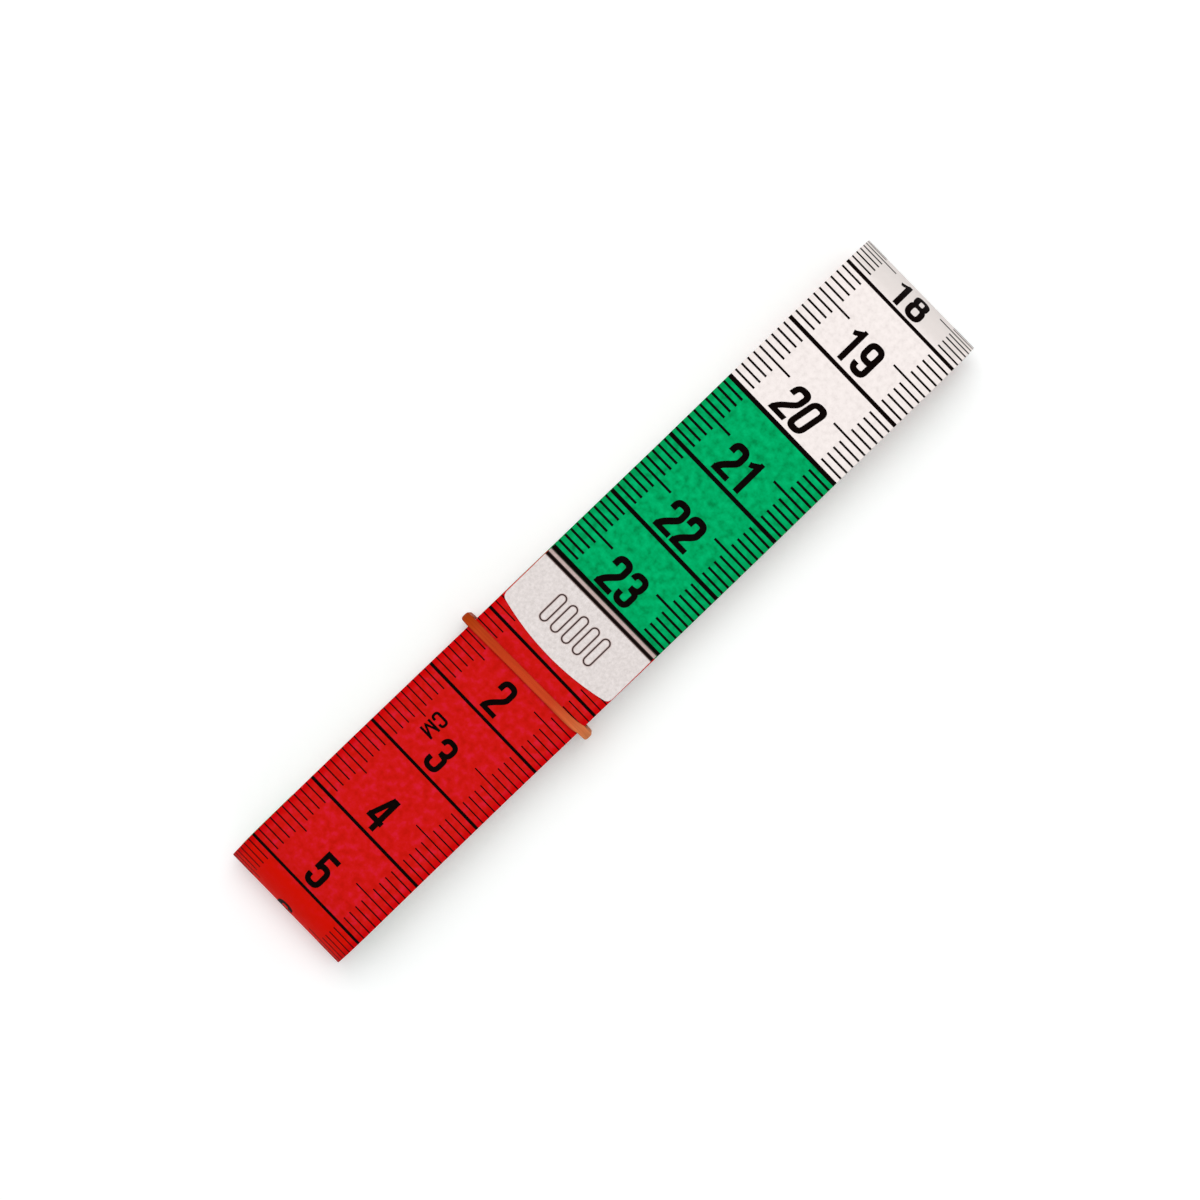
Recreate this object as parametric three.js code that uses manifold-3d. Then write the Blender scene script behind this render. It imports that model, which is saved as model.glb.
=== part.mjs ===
// A cloth tape measure, wound flat with its metal-tipped end outside and held by a rubber band.
// Millimetres, +Z up. The origin lies on the surface that the bundle rests on, under its middle.
// +X points from the fold where the first ten centimetres turn over towards the opposite fold.

import * as THREE from 'three';
import { mergeVertices } from 'three/addons/utils/BufferGeometryUtils.js';
import Module from 'manifold-3d';

// Tape
const tapeLength = 1500;
const tapeWidth = 18.6;
const tapeThickness = 0.25;

// Winding: the places along X are counted from the middle of the bundle
const turns = 7;
const turnGap = 0.42;
const outerEndX = -0.46;
const innerEndX = 12.5;
const foldStep = 0.75;
const noseHeightShare = 0.37;
const topDepthShare = 1.02;
const bottomDepthShare = 1.07;
const swellShare = 0.24;
const waistPastBand = 5;
const footDepthShare = 0.1;
const foldPoints = 16;
const swellPoints = 7;

// Ferrules: a folded metal sheet at each end of the tape
const ferruleLength = 9;
const ferruleSideLength = 7.8;
const ferruleInset = 0.15;
const ferruleSheet = 0.22;
const ferruleClearance = 0.04;
const ferruleReach = 0.55;
const ferruleCornerRadius = 0.6;
const grooveStart = 0.06;
const grooveWidth = 0.6;
const grooveDepth = 0.1;
const grooveSlope = 0.1;
const ferruleEdgePoints = 24;
const ferruleRoundPoints = 8;

// Rubber band
const bandFromEnd = 12.8;
const bandWidth = 1.35;
const bandThicknessAcross = 0.7;
const bandThicknessBeside = 1.1;
const bandClearance = 0.05;
const bandSideClearance = 0.25;
const bandCornerPoints = 6;
const bandSkew = THREE.MathUtils.degToRad(1.25);

// Where the outer end bends up, and how much of the tape is left out there
const bendGap = 0.4;

// How far every cutting block runs past what it cuts
const overrun = 1;

// Everything below is worked out from the sizes above
const turnPitch = tapeThickness + turnGap;
const halfThickness = tapeThickness / 2;
const layerHeight = (turn) => (turns - turn) * turnPitch;
const outerHeight = layerHeight(0);
const waistHalfLength = bandFromEnd - outerEndX + waistPastBand;
const footDepth = footDepthShare * tapeThickness;
const middleHeight = (1 + swellShare) * outerHeight + halfThickness - footDepth;
const ferruleWidth = tapeWidth - 2 * ferruleInset;
const bandNearEdge = bandFromEnd - bandWidth / 2;
const bendFromEnd = (ferruleLength + bandNearEdge) / 2;

const wasm = await Module();
wasm.setup();

// A closed mesh as a solid that can be cut and joined
function solidOf(geometry) {
  const bare = geometry.clone();
  bare.deleteAttribute('normal');
  bare.deleteAttribute('uv');
  const merged = mergeVertices(bare);
  return new wasm.Manifold(new wasm.Mesh({
    numProp: 3,
    vertProperties: new Float32Array(merged.attributes.position.array),
    triVerts: new Uint32Array(merged.index.array),
  }));
}

function geometryOf(solid) {
  const mesh = solid.getMesh();
  const geometry = new THREE.BufferGeometry();
  geometry.setAttribute('position', new THREE.BufferAttribute(mesh.vertProperties, 3));
  geometry.setIndex(new THREE.BufferAttribute(mesh.triVerts, 1));
  geometry.computeVertexNormals();
  return geometry;
}

// An outline of (x, z) points, made solid to equal depths in front of and behind the XZ plane
function prismAlongY(shape, width) {
  const geometry = new THREE.ExtrudeGeometry(shape, { depth: width, bevelEnabled: false });
  return geometry.translate(0, 0, -width / 2).rotateX(Math.PI / 2);
}

// One end fold of a turn, from a top layer to a bottom one: two quarters of ellipses that meet at
// its nose, which hangs lower than the middle. Its roots are where the flat runs end.
function foldOf(halfLength, turn, side) {
  const swell = 1 + swellShare;
  const top = swell * layerHeight(side < 0 ? turn : turn + 1);
  const bottom = -swell * layerHeight(turn);
  const noseX = halfLength - turn * foldStep;
  const noseZ = THREE.MathUtils.lerp(bottom, top, noseHeightShare);
  const topDepth = topDepthShare * (top - noseZ);
  const bottomDepth = bottomDepthShare * (noseZ - bottom);
  const roots = { topRoot: noseX - topDepth, bottomRoot: noseX - bottomDepth };
  return { side, top, bottom, noseX, noseZ, topDepth, bottomDepth, ...roots };
}

// The points of a fold between its two roots, from the top layer down
function foldCurve(fold) {
  return Array.from({ length: foldPoints - 1 }, (_, index) => {
    const angle = Math.PI * (index + 1) / foldPoints;
    const above = angle < Math.PI / 2;
    const depth = above ? fold.topDepth : fold.bottomDepth;
    const height = above ? fold.top - fold.noseZ : fold.noseZ - fold.bottom;
    return new THREE.Vector2(
      fold.side * (fold.noseX - depth * (1 - Math.sin(angle))),
      fold.noseZ + height * Math.cos(angle),
    );
  });
}

// The points of half a layer, from the flat waist out to the root of its fold, where it lies higher
function halfLayer(height, side, root) {
  return Array.from({ length: swellPoints + 1 }, (_, index) => {
    const x = THREE.MathUtils.lerp(waistHalfLength, root, index / swellPoints);
    const rise = THREE.MathUtils.smoothstep(x, waistHalfLength, root);
    return new THREE.Vector2(side * x, height * (1 + swellShare * rise));
  });
}

// The line along the middle of the tape's thickness, from its outer end, over the first fold, back
// below the bundle, over the other fold and on inwards, one layer lower with each turn
function tapeLine(halfLength, startX) {
  const points = [new THREE.Vector2(startX, outerHeight)];
  for (let turn = 0; turn < turns; turn += 1) {
    const first = foldOf(halfLength, turn, -1);
    const second = foldOf(halfLength, turn, 1);
    points.push(
      ...halfLayer(layerHeight(turn), first.side, first.topRoot),
      ...foldCurve(first),
      ...halfLayer(-layerHeight(turn), first.side, first.bottomRoot).reverse(),
      ...halfLayer(-layerHeight(turn), second.side, second.bottomRoot),
      ...foldCurve(second).reverse(),
      ...halfLayer(layerHeight(turn + 1), second.side, second.topRoot).reverse(),
    );
  }
  while (points.at(-1).y === layerHeight(turns) && points.at(-1).x <= innerEndX) points.pop();
  points.push(new THREE.Vector2(innerEndX, layerHeight(turns)));
  return points;
}

function lengthOf(points) {
  return points.slice(1).reduce((sum, point, index) => sum + point.distanceTo(points[index]), 0);
}

// Half the bundle's length, such that the whole tape fits in its turns. Each turn crosses that
// length four times, so each correction leaves next to nothing for the one after it.
function solveHalfLength() {
  let halfLength = tapeLength / (4 * turns);
  for (let pass = 0; pass < 12; pass += 1) {
    halfLength += (tapeLength - lengthOf(tapeLine(halfLength, outerEndX))) / (4 * turns);
  }
  return halfLength;
}

// The two faces of a strip that follows a line, as points beside the line's own
function facesAlong(points, offset) {
  const direction = (from, to) => new THREE.Vector2().subVectors(to, from).normalize();
  return [1, -1].map((side) => points.map((point, index) => {
    const before = direction(points[Math.max(index - 1, 0)], points[Math.max(index, 1)]);
    const last = points.length - 1;
    const after = direction(points[Math.min(index, last - 1)], points[Math.min(index + 1, last)]);
    const along = before.clone().add(after).normalize();
    const reach = side * offset / along.dot(before);
    return new THREE.Vector2(point.x + reach * along.y, point.y - reach * along.x);
  }));
}

// The least distance between two faces of the strip that aren't joined by a short stretch of it
function leastGap(points) {
  const [first, second] = facesAlong(points, halfThickness);
  const places = [0];
  points.slice(1).forEach((point, index) => {
    places.push(places[index] + point.distanceTo(points[index]));
  });
  const nearest = new THREE.Vector3();
  const asPoint = (point) => new THREE.Vector3(point.x, point.y, 0);
  let least = Infinity;
  for (const [face, other] of [[first, second], [second, first], [first, first], [second, second]]) {
    const edges = other.slice(1).map((end, index) => new THREE.Line3(asPoint(other[index]), asPoint(end)));
    face.forEach((point, index) => {
      const here = asPoint(point);
      edges.forEach((edge, next) => {
        const away = Math.min(Math.abs(places[next] - places[index]), Math.abs(places[next + 1] - places[index]));
        if (away > 2 * turnPitch) {
          edge.closestPointToPoint(here, true, nearest);
          least = Math.min(least, nearest.distanceTo(here));
        }
      });
    });
  }
  return least;
}

// The wound tape, less its outer end, with a flat cut across the bottom of both ends to stand on
function tapeWinding(halfLength) {
  const line = tapeLine(halfLength, outerEndX - bendFromEnd - bendGap / 2);
  console.log(`Least gap of the wound tape to itself: ${leastGap(line).toFixed(3)} mm`);
  const [first, second] = facesAlong(line, halfThickness);
  const strip = prismAlongY(new THREE.Shape([...first, ...second.reverse()]), tapeWidth);
  const floor = new THREE.BoxGeometry(2 * halfLength + 2 * overrun, tapeWidth + 2 * overrun, overrun);
  floor.translate(0, 0, -middleHeight - overrun / 2);
  return geometryOf(solidOf(strip).subtract(solidOf(floor)));
}

// The outer end of the tape, flat, with its cut end at x = 0 and the rest towards +X
function tapeFreeEnd() {
  const length = bendFromEnd - bendGap / 2;
  return new THREE.BoxGeometry(length, tapeWidth, tapeThickness).translate(length / 2, 0, 0);
}

// The side view of a ferrule: two plates that a round fold joins just past the end of the tape, at
// x = 0, each with a groove across it behind the fold
function ferruleProfile() {
  const inside = halfThickness + ferruleClearance;
  const outside = inside + ferruleSheet;
  const grooveEnd = grooveStart + grooveWidth;
  const shape = new THREE.Shape();
  shape.moveTo(ferruleLength + overrun, outside);
  shape.lineTo(grooveEnd, outside);
  shape.lineTo(grooveEnd - grooveSlope, outside - grooveDepth);
  shape.lineTo(grooveStart + grooveSlope, outside - grooveDepth);
  shape.lineTo(grooveStart, outside);
  shape.lineTo(outside - ferruleReach, outside);
  shape.absarc(outside - ferruleReach, 0, outside, Math.PI / 2, 3 * Math.PI / 2, false);
  shape.lineTo(grooveStart, -outside);
  shape.lineTo(grooveStart + grooveSlope, grooveDepth - outside);
  shape.lineTo(grooveEnd - grooveSlope, grooveDepth - outside);
  shape.lineTo(grooveEnd, -outside);
  shape.lineTo(ferruleLength + overrun, -outside);
  shape.lineTo(ferruleLength + overrun, -inside);
  shape.lineTo(-ferruleClearance, -inside);
  shape.lineTo(-ferruleClearance, inside);
  shape.lineTo(ferruleLength + overrun, inside);
  return new THREE.Shape(shape.extractPoints(ferruleRoundPoints).shape);
}

// The ferrule seen from above: the edge towards the rest of the tape is a shallow arc
function ferrulePlan() {
  const half = ferruleWidth / 2;
  const bow = ferruleLength - ferruleSideLength;
  const radius = (half * half + bow * bow) / (2 * bow);
  const reach = Math.asin((half - ferruleCornerRadius) / radius);
  const corner = ferruleLength - radius + radius * Math.cos(reach);
  const shape = new THREE.Shape();
  shape.moveTo(-ferruleReach - overrun, -half);
  shape.lineTo(corner - ferruleCornerRadius, -half);
  shape.quadraticCurveTo(corner, -half, corner, ferruleCornerRadius - half);
  shape.absarc(ferruleLength - radius, 0, radius, -reach, reach, false);
  shape.quadraticCurveTo(corner, half, corner - ferruleCornerRadius, half);
  shape.lineTo(-ferruleReach - overrun, half);
  return new THREE.Shape(shape.extractPoints(ferruleEdgePoints).shape);
}

function ferrule() {
  const thickness = tapeThickness + 2 * (ferruleClearance + ferruleSheet);
  const depth = thickness + 2 * overrun;
  const plan = new THREE.ExtrudeGeometry(ferrulePlan(), { depth, bevelEnabled: false });
  plan.translate(0, 0, -depth / 2);
  const sheet = prismAlongY(ferruleProfile(), ferruleWidth + overrun);
  return geometryOf(solidOf(sheet).intersect(solidOf(plan)));
}

// A rectangle with round corners, centred on the origin
function roundedRectangle(halfWide, halfHigh, radius) {
  const shape = new THREE.Shape();
  shape.absarc(halfWide - radius, halfHigh - radius, radius, 0, Math.PI / 2, false);
  shape.absarc(radius - halfWide, halfHigh - radius, radius, Math.PI / 2, Math.PI, false);
  shape.absarc(radius - halfWide, radius - halfHigh, radius, Math.PI, 3 * Math.PI / 2, false);
  shape.absarc(halfWide - radius, radius - halfHigh, radius, 3 * Math.PI / 2, 2 * Math.PI, false);
  return shape.extractPoints(bandCornerPoints).shape;
}

// The band runs round the waist, tight over both faces and a little bowed out at the tape's edges
function rubberBand() {
  const insideWide = tapeWidth / 2 + bandSideClearance;
  const insideHigh = outerHeight + halfThickness + bandClearance;
  const wide = insideWide + bandThicknessBeside;
  const high = insideHigh + bandThicknessAcross;
  const innerRadius = bandClearance + bandSideClearance;
  const outerRadius = innerRadius + (bandThicknessAcross + bandThicknessBeside) / 2;
  const ring = new THREE.Shape(roundedRectangle(wide, high, outerRadius));
  ring.holes.push(new THREE.Path(roundedRectangle(insideWide, insideHigh, innerRadius)));
  const geometry = new THREE.ExtrudeGeometry(ring, { depth: bandWidth, bevelEnabled: false });
  geometry.translate(0, 0, -bandWidth / 2);
  return geometry.rotateX(Math.PI / 2).rotateZ(Math.PI / 2);
}

const printedCloth = new THREE.MeshStandardMaterial({ color: '#ce1519', roughness: 0.55, metalness: 0 });
const nickelledSteel = new THREE.MeshStandardMaterial({ color: '#ded8d5', roughness: 0.35, metalness: 1 });
const latex = new THREE.MeshStandardMaterial({ color: '#c9652e', roughness: 0.5, metalness: 0 });

function piece(name, geometry, material) {
  const mesh = new THREE.Mesh(geometry, material);
  mesh.name = name;
  return mesh;
}

const halfLength = solveHalfLength();

const bundle = new THREE.Group();
bundle.position.z = middleHeight;
bundle.add(piece('tape_winding', tapeWinding(halfLength), printedCloth));

// The outer end lies on top, and its ferrule's fold faces the middle of the bundle
const outerEnd = new THREE.Group();
outerEnd.position.set(outerEndX, 0, outerHeight);
outerEnd.rotation.z = Math.PI;
outerEnd.add(piece('tape_free_end', tapeFreeEnd(), printedCloth));
outerEnd.add(piece('outer_ferrule', ferrule(), nickelledSteel));
bundle.add(outerEnd);

// The inner end lies between the innermost layers
const innerFerrule = piece('inner_ferrule', ferrule(), nickelledSteel);
innerFerrule.position.set(innerEndX, 0, layerHeight(turns));
bundle.add(innerFerrule);

const band = piece('rubber_band', rubberBand(), latex);
band.position.x = outerEndX - bandFromEnd;
band.rotation.z = bandSkew;
bundle.add(band);

const tapeMeasure = new THREE.Group();
tapeMeasure.add(bundle);

export default tapeMeasure;
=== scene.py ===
import math
from bisect import bisect_right

import bmesh
import bpy
from mathutils import Matrix, Vector


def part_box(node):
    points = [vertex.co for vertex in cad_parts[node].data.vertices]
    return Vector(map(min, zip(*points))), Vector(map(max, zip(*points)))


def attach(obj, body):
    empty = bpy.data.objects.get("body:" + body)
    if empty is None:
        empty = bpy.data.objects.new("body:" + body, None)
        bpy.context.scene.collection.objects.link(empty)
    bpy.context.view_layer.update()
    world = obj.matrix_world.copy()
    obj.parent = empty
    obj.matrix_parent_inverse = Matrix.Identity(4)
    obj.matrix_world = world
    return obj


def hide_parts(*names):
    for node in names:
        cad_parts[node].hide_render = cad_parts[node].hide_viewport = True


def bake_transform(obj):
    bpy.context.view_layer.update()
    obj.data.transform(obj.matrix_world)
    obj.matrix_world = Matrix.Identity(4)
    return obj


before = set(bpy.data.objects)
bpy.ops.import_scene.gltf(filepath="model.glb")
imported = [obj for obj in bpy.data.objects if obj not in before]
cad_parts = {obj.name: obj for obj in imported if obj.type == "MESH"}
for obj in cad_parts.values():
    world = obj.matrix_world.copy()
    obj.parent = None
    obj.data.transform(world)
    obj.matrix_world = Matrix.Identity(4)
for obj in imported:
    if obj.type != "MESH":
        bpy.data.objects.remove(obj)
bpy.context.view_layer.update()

# A cloth tape measure, wound flat, with a rubber band round it. Sizes are millimetres here, and a
# finished piece is made metres. "Along" counts from the tape's zero end, "across" from its middle,
# and "through" from the middle of its thickness towards the printed face.

metresPerMillimetre = 0.001
weldDistance = 1e-5  # points closer than this are one


def inMillimetres(point):
    return Vector(point) / metresPerMillimetre


def inMetres(sizes):
    return [size * metresPerMillimetre for size in sizes]


def toLinear(hexText):  # an sRGB hex colour, such as "#ff8800"
    channels = [int(hexText[place:place + 2], 16) / 255 for place in (1, 3, 5)]
    return (*(c / 12.92 if c <= 0.04045 else ((c + 0.055) / 1.055) ** 2.4 for c in channels), 1)


# Winding: the CAD model's own line, with its length and its middle height taken from the frame

tape = dict(
    width=18.6,
    thickness=0.25,
    outerFace=0.14,  # the printed face, over the middle of the thickness
    innerFace=-0.16,
    edgeRounding=0.03,
    footLift=0.014,  # under the folds the cloth is pressed flat, a film of ink above the table
    turns=7,
    turnGap=0.42,
    outerEnd=-0.46,  # where the zero end lies, along X
    innerEnd=12.5,
    waistHalf=18.26,  # the layers lie flat this far to both sides, and swell from there outwards
    swellShare=0.24,
    swellStations=22,
    foldStep=0.75,  # the folds of each turn lie this far inside those of the turn before
    noseHeightShare=0.37,
    topDepthShare=1.02,
    bottomDepthShare=1.07,
    foldStations=80,
    fewestFoldStations=14,
    start=0.02,  # the cloth begins a hair inside its ferrule
    split=12.8,  # under the band, where the free end's own piece begins
    tipStep=0.2,  # rows this close let the free end bend smoothly
    leastStep=0.02,  # and rows closer than this are left out
    colourLength=100.0,
    colourCount=15,
    bend=0.2275,  # the bundle isn't quite straight: its first end lies twice this far to the side
    bendMiddle=-12.0,
    bendSpread=20.0,
    sideways=-0.085,  # and all of it is shifted by this
    wander=0.1,  # how far the hidden turns stray sideways
    wanderWaves=((37.0, 0.0), (83.0, 1.0)),  # each wave's length over 2 pi, and its phase
    wanderFrom=236.0,
    wanderOver=60.0,
)
middleHeight = sum(inMillimetres(corner).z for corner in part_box("inner_ferrule")) / 2
halfLength = inMillimetres(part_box("tape_winding")[1]).x - tape["thickness"] / 2
turnPitch = tape["thickness"] + tape["turnGap"]


def layerHeight(turn):
    return (tape["turns"] - turn) * turnPitch


tipHeight = middleHeight + layerHeight(0)  # of the free end, on top of the bundle


def foldOf(turn, side):
    # two quarters of ellipses, from a top layer to a bottom one, that meet at the nose
    swell = 1 + tape["swellShare"]
    top = swell * layerHeight(turn if side < 0 else turn + 1)
    bottom = -swell * layerHeight(turn)
    noseX = halfLength - turn * tape["foldStep"]
    noseZ = bottom + tape["noseHeightShare"] * (top - bottom)
    above, below = top - noseZ, noseZ - bottom
    topDepth, bottomDepth = tape["topDepthShare"] * above, tape["bottomDepthShare"] * below
    return dict(side=side, noseX=noseX, noseZ=noseZ, above=above, below=below,
                topDepth=topDepth, bottomDepth=bottomDepth,
                topRoot=noseX - topDepth, bottomRoot=noseX - bottomDepth)


def foldLine(fold):
    share = math.sqrt((fold["above"] + fold["below"]) / (2 * layerHeight(0)))
    steps = max(tape["fewestFoldStations"], 2 * round(tape["foldStations"] * share / 2))
    points = []
    for step in range(1, steps):
        angle = math.pi * step / steps
        upper = step <= steps / 2
        depth = fold["topDepth"] if upper else fold["bottomDepth"]
        height = fold["above"] if upper else fold["below"]
        points.append(Vector((fold["side"] * (fold["noseX"] - depth * (1 - math.sin(angle))),
                              fold["noseZ"] + height * math.cos(angle))))
    return points


def layerLine(height, side, root):
    # from the flat waist out to the fold's root, where the layer lies higher
    points = []
    for step in range(tape["swellStations"] + 1):
        share = step / tape["swellStations"]
        x = tape["waistHalf"] + (root - tape["waistHalf"]) * share
        rise = share * share * (3 - 2 * share)
        points.append(Vector((side * x, height * (1 + tape["swellShare"] * rise))))
    return points


def windingLine():
    points = [Vector((tape["outerEnd"], layerHeight(0)))]
    for turn in range(tape["turns"]):
        first, second = foldOf(turn, -1), foldOf(turn, 1)
        points += layerLine(layerHeight(turn), -1, first["topRoot"]) + foldLine(first)
        points += layerLine(-layerHeight(turn), -1, first["bottomRoot"])[::-1]
        points += layerLine(-layerHeight(turn), 1, second["bottomRoot"]) + foldLine(second)[::-1]
        points += layerLine(layerHeight(turn + 1), 1, second["topRoot"])[::-1]
    return points + [Vector((tape["innerEnd"], layerHeight(tape["turns"])))]


def placesAlong(points):
    places = [0.0]
    for before, after in zip(points, points[1:]):
        places.append(places[-1] + (after - before).length)
    return places


linePoints = windingLine()
linePlaces = placesAlong(linePoints)
tapeLength = linePlaces[-1]


def normalAt(index):  # towards the printed face
    before = linePoints[index] - linePoints[max(index - 1, 0)]
    after = linePoints[min(index + 1, len(linePoints) - 1)] - linePoints[index]
    along = (before.normalized() + after.normalized()).normalized()
    return Vector((along.y, -along.x))


lineNormals = [normalAt(index) for index in range(len(linePoints))]


def sideBend(x):
    fromMiddle = (x - tape["bendMiddle"]) / tape["bendSpread"]
    return tape["sideways"] + tape["bend"] * (1 - math.tanh(fromMiddle))


def onTape(along, across, through):  # a point of the tape, where it lies wound
    index = min(max(bisect_right(linePlaces, along) - 1, 0), len(linePlaces) - 2)
    share = (along - linePlaces[index]) / (linePlaces[index + 1] - linePlaces[index])
    point = linePoints[index].lerp(linePoints[index + 1], share)
    normal = lineNormals[index].lerp(lineNormals[index + 1], share)
    x = point.x + through * normal.x
    settled = min(max((along - tape["wanderFrom"]) / tape["wanderOver"], 0), 1)
    waves = [math.sin(along / length + start) for length, start in tape["wanderWaves"]]
    wander = tape["wander"] * settled * sum(waves) / len(waves)
    height = middleHeight + point.y + through * normal.y
    lowest = max(tape["footLift"] + tape["outerFace"] - through, 0)
    return Vector((x, across + sideBend(x) + wander, max(height, lowest)))


print(f"tape line: {tapeLength:.1f} mm in {len(linePoints)} points")


# Pieces

def sweep(bm, stations, section, place, closed=False):
    # a grid whose rows follow the stations and whose columns go round the section
    count, sides = len(stations), len(section)
    rows = count if closed else count - 1
    made = bmesh.ops.create_grid(bm, x_segments=rows, y_segments=sides, size=0.5)["verts"]
    for vert in made:
        row = round((vert.co.x + 0.5) * rows) % count
        column = round((vert.co.y + 0.5) * sides) % sides
        vert.co = place(stations[row], *section[column])
    bmesh.ops.remove_doubles(bm, verts=made, dist=weldDistance)
    made = [vert for vert in made if vert.is_valid]
    if not closed:
        ends = [edge for edge in {e for v in made for e in v.link_edges} if edge.is_boundary]
        bmesh.ops.holes_fill(bm, edges=ends)
    return made


def finishPiece(bm, name, materials, smoothAngle=40.0):  # edges that turn by more stay crisp
    bmesh.ops.scale(bm, vec=(metresPerMillimetre,) * 3, verts=bm.verts)
    bmesh.ops.recalc_face_normals(bm, faces=bm.faces)
    mesh = bpy.data.meshes.new(name)
    bm.to_mesh(mesh)
    bm.free()
    for material in materials:
        mesh.materials.append(material)
    mesh.shade_smooth()
    mesh.set_sharp_from_angle(angle=math.radians(smoothAngle))
    piece = bpy.data.objects.new(name, mesh)
    bpy.context.collection.objects.link(piece)
    return piece


def ringSection(halfWide, low, high, rounding):  # a flat bar with its four long edges rounded
    return [
        (rounding - halfWide, high), (halfWide - rounding, high),
        (halfWide, high - rounding), (halfWide, low + rounding),
        (halfWide - rounding, low), (rounding - halfWide, low),
        (-halfWide, low + rounding), (-halfWide, high - rounding),
    ]


# Materials

mixFirst, mixSecond, mixed = 6, 7, 2  # a Mix node's colour sockets, whose names aren't theirs alone
waveLength = math.pi / 10  # of a Wave node's bands at a scale of 1


def addNode(tree, kind, inputs=None, stops=None, **settings):
    # inputs are values or other nodes' sockets, and stops are a colour ramp's places and colours
    node = tree.nodes.new(kind)
    for name, value in settings.items():
        setattr(node, name, value)
    for name, value in (inputs or {}).items():
        if isinstance(value, bpy.types.NodeSocket):
            tree.links.new(value, node.inputs[name])
        else:
            node.inputs[name].default_value = value
    if stops:
        elements = node.color_ramp.elements
        while len(elements) < len(stops):
            elements.new(0.5)
        for element, (place, colour) in zip(elements, stops):
            element.position = place
            element.color = toLinear(colour)
    return node


def startMaterial(name, **shaderValues):
    material = bpy.data.materials.new(name)
    material.use_nodes = True
    tree = material.node_tree
    shader = tree.nodes["Principled BSDF"]
    for socket, value in shaderValues.items():
        shader.inputs[socket.replace("_", " ")].default_value = value
    return material, tree, shader


cloth = dict(
    threadPitch=0.42,  # the glass-fibre weave under the coating
    weaveDepth=0.012,
    patchStops=(0.28, 0.45, 0.55, 0.72),
    edgeBand=(8.2, 8.9),  # the colour is deeper towards both edges, millimetres across
    foldBand=(0.0500, 0.0515),  # painted shade round the end folds, metres along X
    bandStrength=0.85,
)
# The tones and the size of each colour's patches, then its tone at the edges and its painted shade
# round the folds
coating = dict(
    red=dict(patches=["#c2130a", "#ce1611", "#d1181a", "#d81c34"], size=1.0,
             edge="#c90206", fold="#dc1000"),
    white=dict(patches=["#ede4e1", "#f5ece9", "#f8efec", "#fcf3f0"], size=0.7,
               edge="#f3eae6", fold="#e6deda"),
    green=dict(patches=["#008a4b", "#00a45e", "#00ad66", "#03ba70"], size=1.0,
               edge="#009a53", fold="#009c55"),
)


def coatedCloth(colourName):
    # glass-fibre cloth filled and coated with soft PVC, calendered to a dull skin: the eye sees
    # faint patches, a trace of the threads and hardly any shine
    material, tree, shader = startMaterial(
        f"pvcCoatedGlassCloth-{colourName}", Roughness=0.5, IOR=1.53, Specular_IOR_Level=0.01)
    look = coating[colourName]
    coordinates = addNode(tree, "ShaderNodeTexCoord")
    spots = coordinates.outputs["UV"]  # millimetres across and along the cloth
    patches = addNode(tree, "ShaderNodeTexNoise", {
        "Vector": spots, "Scale": 1 / look["size"], "Detail": 2.0, "Roughness": 0.55})
    tones = addNode(tree, "ShaderNodeValToRGB", {"Fac": patches.outputs["Fac"]},
                    stops=list(zip(cloth["patchStops"], look["patches"])))
    toned = tones.outputs["Color"]
    # the deeper tone towards both edges, then painted shade round the end folds
    for vector, name in ((coordinates.outputs["Object"], "fold"), (spots, "edge")):
        place = addNode(tree, "ShaderNodeSeparateXYZ", {"Vector": vector})
        offMiddle = addNode(tree, "ShaderNodeMath", {0: place.outputs["X"]}, operation="ABSOLUTE")
        start, end = cloth[name + "Band"]
        share = addNode(tree, "ShaderNodeMapRange", {
            "Value": offMiddle.outputs[0], "From Min": start, "From Max": end,
            "To Max": cloth["bandStrength"]})
        toned = addNode(tree, "ShaderNodeMix", {
            "Factor": share.outputs[0], mixFirst: toned, mixSecond: toLinear(look[name])},
            data_type="RGBA").outputs[mixed]
    tree.links.new(toned, shader.inputs["Base Color"])
    warp, weft = (
        addNode(tree, "ShaderNodeTexWave", {
            "Vector": spots, "Scale": waveLength / cloth["threadPitch"], "Distortion": 0.8,
            "Detail Scale": 1.5}, bands_direction=direction).outputs["Fac"]
        for direction in ("X", "Y"))
    threads = addNode(tree, "ShaderNodeMath", {0: warp, 1: weft}, operation="MULTIPLY")
    relief = addNode(tree, "ShaderNodeMath", {0: threads.outputs[0], 1: patches.outputs["Fac"]},
                     operation="ADD")
    bump = addNode(tree, "ShaderNodeBump", {
        "Height": relief.outputs[0], "Strength": 0.5,
        "Distance": cloth["weaveDepth"] * metresPerMillimetre})
    tree.links.new(bump.outputs["Normal"], shader.inputs["Normal"])
    return material


def cutEdge():
    # the slit edge of the cloth: pale glass threads between the two coloured skins
    material, tree, shader = startMaterial(
        "slitGlassClothEdge", Roughness=0.75, Specular_IOR_Level=0.1)
    spots = addNode(tree, "ShaderNodeTexCoord").outputs["UV"]
    threads = addNode(tree, "ShaderNodeTexNoise", {
        "Vector": spots, "Scale": 1 / cloth["threadPitch"], "Detail": 3.0})
    pale = addNode(tree, "ShaderNodeValToRGB", {"Fac": threads.outputs["Fac"]},
                   stops=[(0.3, "#c9bcae"), (0.5, "#e6dccf"), (0.7, "#f4eee4")])
    tree.links.new(pale.outputs["Color"], shader.inputs["Base Color"])
    bump = addNode(tree, "ShaderNodeBump", {
        "Height": threads.outputs["Fac"], "Strength": 0.6,
        "Distance": cloth["weaveDepth"] * metresPerMillimetre})
    tree.links.new(bump.outputs["Normal"], shader.inputs["Normal"])
    return material


inkLook = dict(
    spotSize=0.3846,  # of the spots where the ink lies thinner
    tones=[(0.35, "#060202"), (0.7, "#0c0503"), (0.85, "#1a0e0b")],
)


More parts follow.
